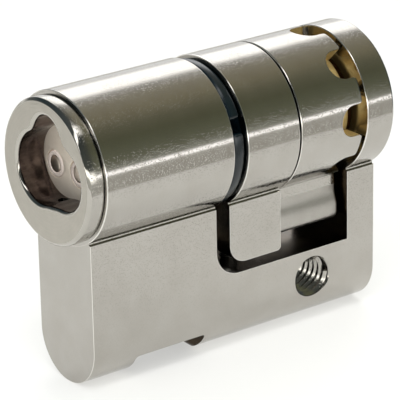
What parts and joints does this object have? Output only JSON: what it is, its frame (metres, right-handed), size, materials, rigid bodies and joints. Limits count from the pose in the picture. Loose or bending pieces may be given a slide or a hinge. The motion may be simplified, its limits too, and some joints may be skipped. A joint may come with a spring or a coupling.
{
  "type": "euro profile half cylinder",
  "caption": "Half euro profile lock cylinder with a lobed key mouth, sprung contacts, a snap ring, a profile spacer and a turning cam with a downward lever.",
  "frame": {"origin": "on the barrel axis, straight above the axis of the fixing screw's hole, where the lock case's cam slot is centred", "axes": "+X along the barrel, away from the key; -X towards the key; -Z down the flange; Y across the flange, the same on both sides"},
  "size_m": [0.041, 0.017, 0.033],
  "materials": {
    "nickel": "satin nickel plate on brass",
    "rose_steel": "fine-turned stainless, faintly rosy",
    "brass": "bare machined brass",
    "bronze": "bearing bronze",
    "black_steel": "black phosphated spring steel",
    "hard_steel": "hardened ground steel",
    "zinc_steel": "zinc-plated sheet",
    "spring_steel": "drawn spring wire",
    "contact_metal": "plated contact metal",
    "aluminium": "drawn can",
    "copper": "enamelled copper wire",
    "rubber": "matte",
    "grey_plastic": "light grey insulating plastic",
    "black_plastic": "black moulding",
    "board_green": "green glass-fibre board"
  },
  "bodies": {
    "fixed_housing": {"housing": "nickel", "profile_spacer": "nickel", "spacer_pin": "hard_steel", "front_drill_pin": "hard_steel", "rear_drill_pin": "hard_steel", "rear_bush": "bronze", "end_cover": "nickel"},
    "turning_core": {"face_cap": "nickel", "cam": "nickel", "contact_face": "rose_steel", "main_insulator": "grey_plastic", "side_insulator": "grey_plastic", "main_spring": "spring_steel", "side_spring": "spring_steel", "core_sleeve": "brass", "core_seal": "rubber", "snap_ring": "black_steel", "contact_board": "board_green", "circuit_board": "board_green", "chip": "black_plastic", "capacitor": "aluminium", "actuator_frame": "zinc_steel", "coil_bobbin": "black_plastic", "actuator_coil": "copper", "actuator_core": "hard_steel", "pin_guide": "bronze", "upper_pin_spring": "spring_steel", "lower_pin_spring": "spring_steel", "tail_shaft": "hard_steel", "cam_hub": "brass", "cam_key": "hard_steel", "index_pin_spring": "spring_steel"},
    "main_contact": {"main_contact": "contact_metal"},
    "side_contact": {"side_contact": "contact_metal"},
    "plunger": {"actuator_plunger": "hard_steel"},
    "upper_pin": {"upper_locking_pin": "hard_steel"},
    "lower_pin": {"lower_locking_pin": "hard_steel"},
    "index": {"index_pin": "hard_steel"}
  },
  "joints": [
    {"name": "core_turn", "type": "hinge", "parent": "fixed_housing", "child": "turning_core", "pos_m": [0, 0, 0], "axis": [1, 0, 0], "continuous": true},
    {"name": "main_contact_press", "type": "slide", "parent": "turning_core", "child": "main_contact", "axis": [1, 0, 0], "range_m": [0, 0.0006], "stiffness_N_per_m": 200, "springref_m": -0.0005, "deforming": ["main_spring"]},
    {"name": "side_contact_press", "type": "slide", "parent": "turning_core", "child": "side_contact", "axis": [1, 0, 0], "range_m": [0, 0.0006], "stiffness_N_per_m": 200, "springref_m": -0.0005, "deforming": ["side_spring"]},
    {"name": "plunger_slide", "type": "slide", "parent": "turning_core", "child": "plunger", "axis": [1, 0, 0], "range_m": [0, 0.0009]},
    {"name": "upper_pin_slide", "type": "slide", "parent": "turning_core", "child": "upper_pin", "axis": [0, 0, 1], "range_m": [0, 0.0009], "deforming": ["upper_pin_spring"]},
    {"name": "lower_pin_slide", "type": "slide", "parent": "turning_core", "child": "lower_pin", "axis": [0, 0, -1], "range_m": [0, 0.0009], "deforming": ["lower_pin_spring"]},
    {"name": "index_pin_press", "type": "slide", "parent": "turning_core", "child": "index", "axis": [0, -1, 0], "range_m": [0, 0.0009], "stiffness_N_per_m": 300, "springref_m": -0.0005, "deforming": ["index_pin_spring"]}
  ],
  "couplings": [
    {"joint": "upper_pin_slide", "follows": "plunger_slide", "ratio": 1},
    {"joint": "lower_pin_slide", "follows": "plunger_slide", "ratio": 1}
  ]
}
